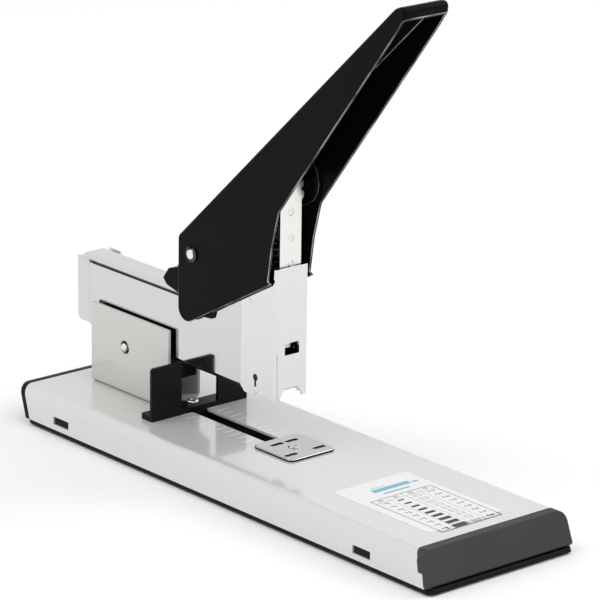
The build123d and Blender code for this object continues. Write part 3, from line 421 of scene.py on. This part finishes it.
def make_finish(name):
    """Every finish of the stapler, under the record's slot names and the inks."""
    paint = colours()
    if name == "cover_paint":
        return Finish(name, paint.cover, 0.16, 0.22, metallic=0.35, coat=1.0, coat_roughness=0.045,
                      fine=900, bump=0.06, bump_depth=0.02 * MM, wear_and_highlight=0.12, mottle=0.03)
    if name == "bracket_paint":
        made = Finish(name, paint.bracket, 0.28, 0.36, coat=0.9, coat_roughness=0.05,
                      fine=900, bump=0.06, bump_depth=0.02 * MM, wear_and_highlight=0.2, mottle=0.04)
        # Painted shade: the inner faces of the bracket's walls above a height are darkened to stand for the
        # shade under the arm.
        made.shade_where(made.band(BRACKET_SHADE_HALF_WIDTH, lowest=BRACKET_SHADE_FROM), (0.01, 0.01, 0.01, 1))
        # Painted shade: a dark round spot around the pivot rivet stands for the shade in its hole.
        centre = (RIVET_LOW + RIVET_HIGH) / 2
        made.shade_where(made.round_spot((centre.x, centre.z), RIVET_HOLE_SHADE), (0.006, 0.006, 0.006, 1))
        return made
    if name in ("plated_steel", "arm_steel_shaded_inside"):
        # The edge wear here also paints bright highlight lines along the plated edges.
        made = Finish(name, paint.plating, 0.05, 0.09, metallic=1.0, stretch=(0.15, 1, 1.6),
                      fine=1500, bump=0.03, bump_depth=0.004 * MM, bare_and_highlight=(0.78, 0.78, 0.78, 1),
                      wear_and_highlight=0.6, mottle=0.03)
        if name == "arm_steel_shaded_inside":
            # Painted shade: the inner faces of the arm's channel are coloured near black to stand for the
            # dark gaps; the plating there is really bright.
            made.shade_where(made.band(ARM_INNER_SHADE), (0.004, 0.004, 0.004, 1))
        return made
    if name in ("rail_steel_lit_copy", "head_steel_lit_copy"):
        # Lit copies of the plating: the top rail and the head are given brighter colours to stand for the
        # light they catch.
        lit_level = 0.80 if name == "rail_steel_lit_copy" else 0.72
        return Finish(name, (lit_level, lit_level, lit_level, 1), 0.05, 0.1, metallic=1.0, stretch=(0.15, 1, 1.6),
                      fine=1500, bump=0.03, bump_depth=0.004 * MM, bare_and_highlight=(0.9, 0.9, 0.9, 1),
                      wear_and_highlight=0.4, mottle=0.02)
    if name == "anvil_steel_shade_and_highlight":
        # Painted highlight: full edge wear with a near-white bare colour gives the plate a bright rim.
        made = Finish(name, paint.plating, 0.08, 0.14, metallic=1.0, fine=1500, bump=0.03,
                      bump_depth=0.004 * MM, bare_and_highlight=(0.95, 0.95, 0.95, 1), wear_and_highlight=1.0, mottle=0.1)
        # Painted shade: all below the plate's top, the pocket floors and the plate's sides, is darkened to
        # stand for shade.
        made.shade_where(made.below(ANVIL_TOP - POCKET_SHADE_DEPTH), (0.01, 0.01, 0.011, 1))
        return made
    if name == "driver_steel":
        return Finish(name, paint.nickel, 0.24, 0.34, metallic=1.0, stretch=(1, 1, 0.12),
                      fine=2600, bump=0.08, bare_and_highlight=(0.85, 0.85, 0.83, 1), wear_and_highlight=0.7)
    if name == "dark_steel":
        # On the magazine channel this dark finish is painted shade, standing for the dark gap around the
        # plated channel.
        return Finish(name, (0.012, 0.012, 0.013, 1), 0.3, 0.42, metallic=0.6, fine=2200,
                      bare_and_highlight=(0.25, 0.25, 0.26, 1), wear_and_highlight=0.5)
    if name == "pin_steel":
        return Finish(name, (0.78, 0.78, 0.77, 1), 0.12, 0.2, metallic=1.0, fine=3200,
                      bare_and_highlight=(0.9, 0.9, 0.9, 1), wear_and_highlight=0.6)
    if name == "spring_steel":
        return Finish(name, (0.36, 0.36, 0.37, 1), 0.22, 0.32, metallic=1.0, fine=3200)
    if name == "staple_wire":
        return Finish(name, (0.62, 0.63, 0.65, 1), 0.16, 0.26, metallic=1.0,
                      stretch=(1, 0.05, 0.05), fine=2200, bump=0.5)
    if name == "black_lacquer":
        # Painted highlight: strong edge wear with a grey bare colour draws thin bright lines along the
        # handle's edges.
        return Finish(name, paint.lacquer, 0.30, 0.40, specular=0.05, fine=1300, bump=0.06,
                      bump_depth=0.012 * MM, bare_and_highlight=(0.45, 0.45, 0.47, 1), wear_and_highlight=0.9, mottle=0.2)
    if name == "black_plastic":
        return Finish(name, paint.plastic, 0.34, 0.48, specular=0.12, fine=2600, bump=0.16,
                      bump_depth=0.015 * MM, mottle=0.25)
    if name == "cap_plastic":
        return Finish(name, paint.cap, 0.42, 0.56, specular=0.3, fine=1800, bump=0.22,
                      bump_depth=0.02 * MM, mottle=0.35)
    if name == "foot_rubber":
        return Finish(name, (0.012, 0.012, 0.012, 1), 0.7, 0.85, specular=0.25, fine=1500,
                      bump=0.4, bump_depth=0.03 * MM)
    if name == "label_film":
        return Finish(name, (0.80, 0.81, 0.81, 1), 0.22, 0.3, coat=0.6, fine=700, bump=0.04,
                      mottle=0.02)
    inks = {"ink_black": (0.015, 0.016, 0.018, 1), "ink_grey": (0.34, 0.36, 0.38, 1),
            "ink_blue": (0.17, 0.42, 0.60, 1), "ink_white": (0.93, 0.93, 0.93, 1)}
    if name in inks:
        return Finish(name, inks[name], 0.35, 0.5, fine=4000, bump=0.05, mottle=0.25)
    raise ValueError(f"no finish is named {name}")


# --- Making pieces ------------------------------------------------------------------


def at(from_rear, y, z):
    """Point given by its distance from the rear end, in millimetres."""
    return Vector((REAR + from_rear * MM, y * MM, z * MM))


def piece_from(shape, name, body, material, smooth=True):
    """Object made of a finished bmesh, riding on its body."""
    mesh = bpy.data.meshes.new(name)
    shape.to_mesh(mesh)
    shape.free()
    if smooth:
        mesh.shade_smooth()
    piece = bpy.data.objects.new(name, mesh)
    bpy.context.scene.collection.objects.link(piece)
    mesh.materials.append(finish_of(material))
    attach(piece, body)
    return piece


def weigh_normals(piece):
    """Keeps flat faces flat where they meet a rounded edge."""
    weighted = piece.modifiers.new("flat_faces", "WEIGHTED_NORMAL")
    weighted.mode = "FACE_AREA"
    weighted.weight = 60
    weighted.keep_sharp = True


def rounded_copy(node, slot, width=None, segments=3, material=None, clamp=True):
    """Copy of a CAD node with its sharp edges rounded, which stands for the node."""
    if width is None:
        width = EDGES[node] * MM
    shape = bmesh.new()
    shape.from_mesh(frame["nodes"][node].data)
    worn_and_highlit = shape.verts.layers.float.new("edge")
    bmesh.ops.remove_doubles(shape, verts=shape.verts[:], dist=MERGE)
    bmesh.ops.dissolve_limit(shape, angle_limit=FLAT, verts=shape.verts[:], edges=shape.edges[:])
    sharp = [e for e in shape.edges if e.is_manifold and e.calc_face_angle(0) > SHARP]
    made = bmesh.ops.bevel(
        shape, geom=sharp, offset=width, offset_type="OFFSET", segments=segments, profile=0.5,
        affect="EDGES", material=-1, clamp_overlap=clamp)
    rounded = set(made["faces"])
    # Marks the rounded edges, where the wear and the painted edge highlight go.
    for vert in {v for face in rounded for v in face.verts}:
        vert[worn_and_highlit] = float(all(face in rounded for face in vert.link_faces))
    piece = piece_from(shape, f"{node}_finished", BODY_OF[node], material or slot)
    weigh_normals(piece)
    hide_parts(node)
    return piece


def dress(node, slot, material=None):
    """Puts a finish on a CAD node that keeps its mesh."""
    piece = frame["nodes"][node]
    piece.data.materials.clear()
    piece.data.materials.append(finish_of(material or slot))


def turned(name, profile, centre, body, slot, steps=48):
    """Round piece on an axis along Y, from (place on the axis, radius) pairs in millimetres."""
    shape = bmesh.new()
    ring = [shape.verts.new(centre + Vector((0, y * MM, r * MM))) for y, r in profile]
    line = [shape.edges.new(pair) for pair in zip(ring, ring[1:])]
    bmesh.ops.spin(shape, geom=ring + line, cent=centre, axis=(0, 1, 0), dvec=(0, 0, 0),
                   angle=math.tau, steps=steps, use_merge=True, use_duplicate=False)
    bmesh.ops.remove_doubles(shape, verts=shape.verts[:], dist=MERGE)
    bmesh.ops.recalc_face_normals(shape, faces=shape.faces[:])
    piece = piece_from(shape, name, body, slot)
    weigh_normals(piece)
    return piece


def add_block(shape, centre, size):
    """Adds one thin block to a bmesh."""
    place = Matrix.Translation(centre) @ Matrix.Diagonal((*size, 1))
    bmesh.ops.create_cube(shape, size=1, matrix=place)


def printed(name, body, material, marks, surface):
    """Flat printed marks on a surface, from (from rear, y, length, width) in millimetres."""
    height = sizes().print_height
    shape = bmesh.new()
    for x, y, length, width in marks:
        centre = at(x, y, 0)
        centre.z = surface
        add_block(shape, centre, (length * MM, width * MM, 2 * height))
    return piece_from(shape, name, body, material, smooth=False)


# --- Operators ----------------------------------------------------------------------


class STAPLER_OT_base(bpy.types.Operator):
    """Base cover, floor, end caps and feet"""

    bl_idname = "stapler.base"
    bl_label = "Base"

    def execute(self, context):
        rounded_copy("base_cover", "cover_paint", sizes().sheet_edge)
        rounded_copy("base_tray", "black_plastic", sizes().moulded_edge)
        rounded_copy("rear_end_cap", "cap_plastic", sizes().moulded_edge, material="black_plastic")
        # Painted light: the front cap gets a lighter copy of the black plastic for the light on its face.
        rounded_copy("front_end_cap", "cap_plastic", sizes().moulded_edge)
        dress("rubber_feet", "foot_rubber")
        rounded_copy("guide_rail", "dark_steel")
        return {"FINISHED"}


class STAPLER_OT_label(bpy.types.Operator):
    """Sticker with a plain table of staple sizes, drawn as blank marks"""

    bl_idname = "stapler.label"
    bl_label = "Sticker"

    def execute(self, context):
        rounded_copy("size_label", "label_film", segments=2)
        columns = sizes().table_columns
        left, right, near, far = 215.4, 261.0, -18.4, 15.8
        middle = ((left + right) / 2, (near + far) / 2)
        header = 3.6
        step = (right - left - header) / columns
        rows = (far - 4.2, middle[1] + 4.2, middle[1] - 4.4, near + 4.2)
        lines = [(middle[0], near, right - left, 0.35), (middle[0], far, right - left, 0.35),
                 (left, middle[1], 0.35, far - near), (right, middle[1], 0.35, far - near)]
        lines += [(middle[0], (a + b) / 2, right - left, 0.12) for a, b in zip(rows, rows[1:])]
        lines += [(left + header, middle[1], 0.12, far - near)]
        dark, light = list(lines), []
        for i in range(columns):
            x = left + header + (i + 0.5) * step
            for y in (-1.3, 0.2, 1.5):
                dark.append((x - 0.5 + 0.3 * (y > 0), rows[0] + y, 1.5, 0.55))
            light += [(x, rows[1] + side, 2.6, 0.3) for side in (-1.9, 1.9)]
            light += [(x + side, rows[1], 0.3, 3.8) for side in (-1.3, 0, 1.3)]
            tall = 3.4 + 0.5 * i
            dark.append((x, rows[2] - 0.6, 1.2 + 0.25 * i, tall))
            dark.append((x - 0.9, rows[3], 0.45, 3.0))
            dark.append((x + 0.2, rows[3] + 0.9, 1.8, 0.4))
        for y in rows:
            dark += [(left + header / 2 + side, y, 0.4, 2.6) for side in (-0.7, 0.5)]
        top = LABEL_TOP
        printed("label_table", "base", "ink_black", dark, top)
        printed("label_staples", "base", "ink_grey", light, top)
        bars = [(206.6, 1.0, 3.2, 21.0), (207.4, 14.2, 1.6, 3.4)]
        printed("label_band", "base", "ink_blue", bars, top)
        printed("label_lines", "base", "ink_grey",
                [(211.2, 0.4, 1.3, 15.0), (203.4, -4.0, 0.5, 8.0)], top)
        return {"FINISHED"}


class STAPLER_OT_scale(bpy.types.Operator):
    """Depth marks on the cover, both sides of the guide's slot"""

    bl_idname = "stapler.scale"
    bl_label = "Depth marks"

    def execute(self, context):
        marks = []
        for i in range(sizes().scale_marks):
            length = 7.0 if i % 2 == 0 else 5.0
            for side in (-1, 1):
                marks.append((72 + i * sizes().scale_pitch / MM, side * (5.6 + length / 2), 0.42, length))
        printed("depth_marks", "base", "ink_white", marks, COVER_TOP)
        return {"FINISHED"}


class STAPLER_OT_bracket(bpy.types.Operator):
    """Stand bracket, its rivets, the arm's pivot and the lift spring"""

    bl_idname = "stapler.bracket"
    bl_label = "Stand bracket"

    def execute(self, context):
        rounded_copy("stand_bracket", "bracket_paint", sizes().sheet_edge)
        dress("bracket_rivets", "plated_steel")
        dress("pivot_washers", "black_plastic")
        dress("arm_lift_spring", "spring_steel")
        half = (RIVET_HIGH.y - RIVET_LOW.y) / 2 / MM
        end = [(half + 1.3, 0), (half + 1.25, 0.7), (half + 1.0, 1.4), (half + 0.6, 1.85),
               (half + 0.1, 2.0), (half - 1.4, 2.0), (half - 1.4, 2.45), (half - 2.6, 2.45)]
        profile = [(-y, r) for y, r in end] + [(y, r) for y, r in reversed(end)]
        rivet = turned("arm_pivot_rivet_finished", profile, (RIVET_LOW + RIVET_HIGH) / 2,
                       "base", "pin_steel")
        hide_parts("arm_pivot_rivet")
        return {"FINISHED"}


class STAPLER_OT_anvil(bpy.types.Operator):
    """Turning anvil plate with its rivet"""

    bl_idname = "stapler.anvil"
    bl_label = "Anvil"

    def execute(self, context):
        rounded_copy("anvil_plate", "plated_steel", material="anvil_steel_shade_and_highlight")
        rounded_copy("anvil_rivet", "plated_steel")
        dress("anvil_spring_washer", "spring_steel")
        return {"FINISHED"}


class STAPLER_OT_guide(bpy.types.Operator):
    """Sliding paper guide with its screw"""

    bl_idname = "stapler.guide"
    bl_label = "Paper guide"

    def execute(self, context):
        rounded_copy("paper_guide", "black_plastic", sizes().moulded_edge)
        rounded_copy("guide_slider", "black_plastic")
        rounded_copy("guide_screw", "pin_steel")
        return {"FINISHED"}


class STAPLER_OT_arm(bpy.types.Operator):
    """Plated arm with its top rail, head and pivot frame"""

    bl_idname = "stapler.arm"
    bl_label = "Arm"

    def execute(self, context):
        rounded_copy("arm_channel", "plated_steel", material="arm_steel_shaded_inside")
        rounded_copy("top_rail", "plated_steel", material="rail_steel_lit_copy")
        rounded_copy("head_housing", "plated_steel", material="head_steel_lit_copy")
        # Painted shade: the plated magazine channel gets the dark steel finish so that it reads as the dark
        # gap.
        rounded_copy("magazine_channel", "plated_steel", material="dark_steel")
        rounded_copy("spring_seat", "black_plastic", sizes().moulded_edge)
        rounded_copy("pivot_frame", "black_lacquer", sizes().sheet_edge)
        rounded_copy("driver_guide", "black_plastic")
        dress("arm_pivot_bush", "dark_steel")
        dress("frame_rivets", "dark_steel")
        dress("head_rivets", "plated_steel", "head_steel_lit_copy")
        rounded_copy("handle_pivot_pin", "pin_steel")
        rounded_copy("retaining_rings", "dark_steel")
        dress("driver_return_spring", "spring_steel")
        return {"FINISHED"}


class STAPLER_OT_magazine(bpy.types.Operator):
    """Pull-out staple rail with its end, latch, follower and staples"""

    bl_idname = "stapler.magazine"
    bl_label = "Magazine"

    def execute(self, context):
        rounded_copy("magazine_rear_cap", "plated_steel")
        rounded_copy("rail_block", "black_plastic")
        rounded_copy("rail_latch", "black_plastic")
        rounded_copy("staple_core_rail", "plated_steel")
        rounded_copy("staple_pusher", "black_plastic")
        dress("staple_strip", "staple_wire")
        dress("pusher_spring", "spring_steel")
        return {"FINISHED"}


class STAPLER_OT_handle(bpy.types.Operator):
    """Black folded handle with its cam plates"""

    bl_idname = "stapler.handle"
    bl_label = "Handle"

    def execute(self, context):
        rounded_copy("handle_lever", "black_lacquer", clamp=False)
        rounded_copy("cam_plates", "black_lacquer")
        return {"FINISHED"}


class STAPLER_OT_driver(bpy.types.Operator):
    """Driver blade with its carrier and cross pin"""

    bl_idname = "stapler.driver"
    bl_label = "Driver"

    def execute(self, context):
        rounded_copy("driver_blade", "driver_steel")
        rounded_copy("driver_carrier", "dark_steel")
        rounded_copy("cross_pin", "pin_steel")
        return {"FINISHED"}


class STAPLER_OT_stage(bpy.types.Operator):
    """Floor, soft lights and camera"""

    bl_idname = "stapler.stage"
    bl_label = "Stage"

    def execute(self, context):
        self.make_floor()
        self.make_world()
        for name, place, aim, size, power in LAMPS:
            self.make_light(name, Vector(place), Vector(aim), size, power)
        self.make_camera()
        context.scene.view_settings.view_transform = "Standard"
        return {"FINISHED"}

    def make_floor(self):
        shape = bmesh.new()
        bmesh.ops.create_grid(shape, x_segments=1, y_segments=1, size=6)
        mesh = bpy.data.meshes.new("floor")
        shape.to_mesh(mesh)
        shape.free()
        floor = bpy.data.objects.new("floor", mesh)
        bpy.context.scene.collection.objects.link(floor)
        material = bpy.data.materials.new("floor_paper")
        material.use_nodes = True
        shader = material.node_tree.nodes["Principled BSDF"]
        shader.inputs["Base Color"].default_value = FLOOR_COLOUR
        shader.inputs["Roughness"].default_value = 0.9
        shader.inputs["Specular IOR Level"].default_value = 0.1
        mesh.materials.append(material)

    def make_world(self):
        world = bpy.data.worlds.new("studio")
        bpy.context.scene.world = world
        world.use_nodes = True
        background = world.node_tree.nodes["Background"]
        background.inputs["Color"].default_value = (1, 1, 1, 1)
        background.inputs["Strength"].default_value = SKY_STRENGTH

    def make_light(self, name, place, aim, size, power):
        lamp = bpy.data.lights.new(name, "AREA")
        lamp.size = size
        lamp.energy = power
        holder = bpy.data.objects.new(name, lamp)
        holder.location = place
        holder.rotation_euler = (aim - place).to_track_quat("-Z", "Y").to_euler()
        bpy.context.scene.collection.objects.link(holder)

    def make_camera(self):
        turn, rise, roll = (math.radians(angle) for angle in CAMERA_ANGLES)
        back = Vector((math.sin(turn) * math.cos(rise), -math.cos(turn) * math.cos(rise), math.sin(rise)))
        right = (-back).cross(Vector((0, 0, 1))).normalized()
        up = right.cross(-back)
        across = math.cos(roll) * right + math.sin(roll) * up
        upward = math.cos(roll) * up - math.sin(roll) * right
        lens = bpy.data.cameras.new("camera")
        lens.sensor_width = CAMERA_SENSOR
        lens.lens = CAMERA_LENS
        lens.clip_end = 50
        camera = bpy.data.objects.new("camera", lens)
        turned_to = Matrix((across, upward, back)).transposed().to_4x4()
        camera.matrix_world = Matrix.Translation(CAMERA_PLACE) @ turned_to
        bpy.context.scene.collection.objects.link(camera)
        bpy.context.scene.camera = camera


OPERATORS = (
    STAPLER_OT_stage, STAPLER_OT_base, STAPLER_OT_label, STAPLER_OT_scale, STAPLER_OT_bracket,
    STAPLER_OT_anvil, STAPLER_OT_guide, STAPLER_OT_arm, STAPLER_OT_magazine, STAPLER_OT_handle,
    STAPLER_OT_driver,
)


class STAPLER_PT_panel(bpy.types.Panel):
    """Settings and pieces of the stapler"""

    bl_idname = "STAPLER_PT_panel"
    bl_label = "Stapler"
    bl_space_type = "VIEW_3D"
    bl_region_type = "UI"
    bl_category = "Stapler"

    def draw(self, context):
        for settings in (context.scene.stapler_sizes, context.scene.stapler_colours):
            box = self.layout.box()
            for prop in settings.bl_rna.properties:
                if prop.identifier not in ("rna_type", "name"):
                    box.prop(settings, prop.identifier)
        for operator in OPERATORS:
            self.layout.operator(operator.bl_idname)


CLASSES = (StaplerSizes, StaplerColours, *OPERATORS, STAPLER_PT_panel)


def register():
    for item in CLASSES:
        bpy.utils.register_class(item)
    bpy.types.Scene.stapler_sizes = bpy.props.PointerProperty(type=StaplerSizes)
    bpy.types.Scene.stapler_colours = bpy.props.PointerProperty(type=StaplerColours)


def unregister():
    del bpy.types.Scene.stapler_colours
    del bpy.types.Scene.stapler_sizes
    for item in reversed(CLASSES):
        bpy.utils.unregister_class(item)


def main():
    register()
    for operator in OPERATORS:
        group, name = operator.bl_idname.split(".")
        getattr(getattr(bpy.ops, group), name)()


if __name__ == "__main__":
    main()
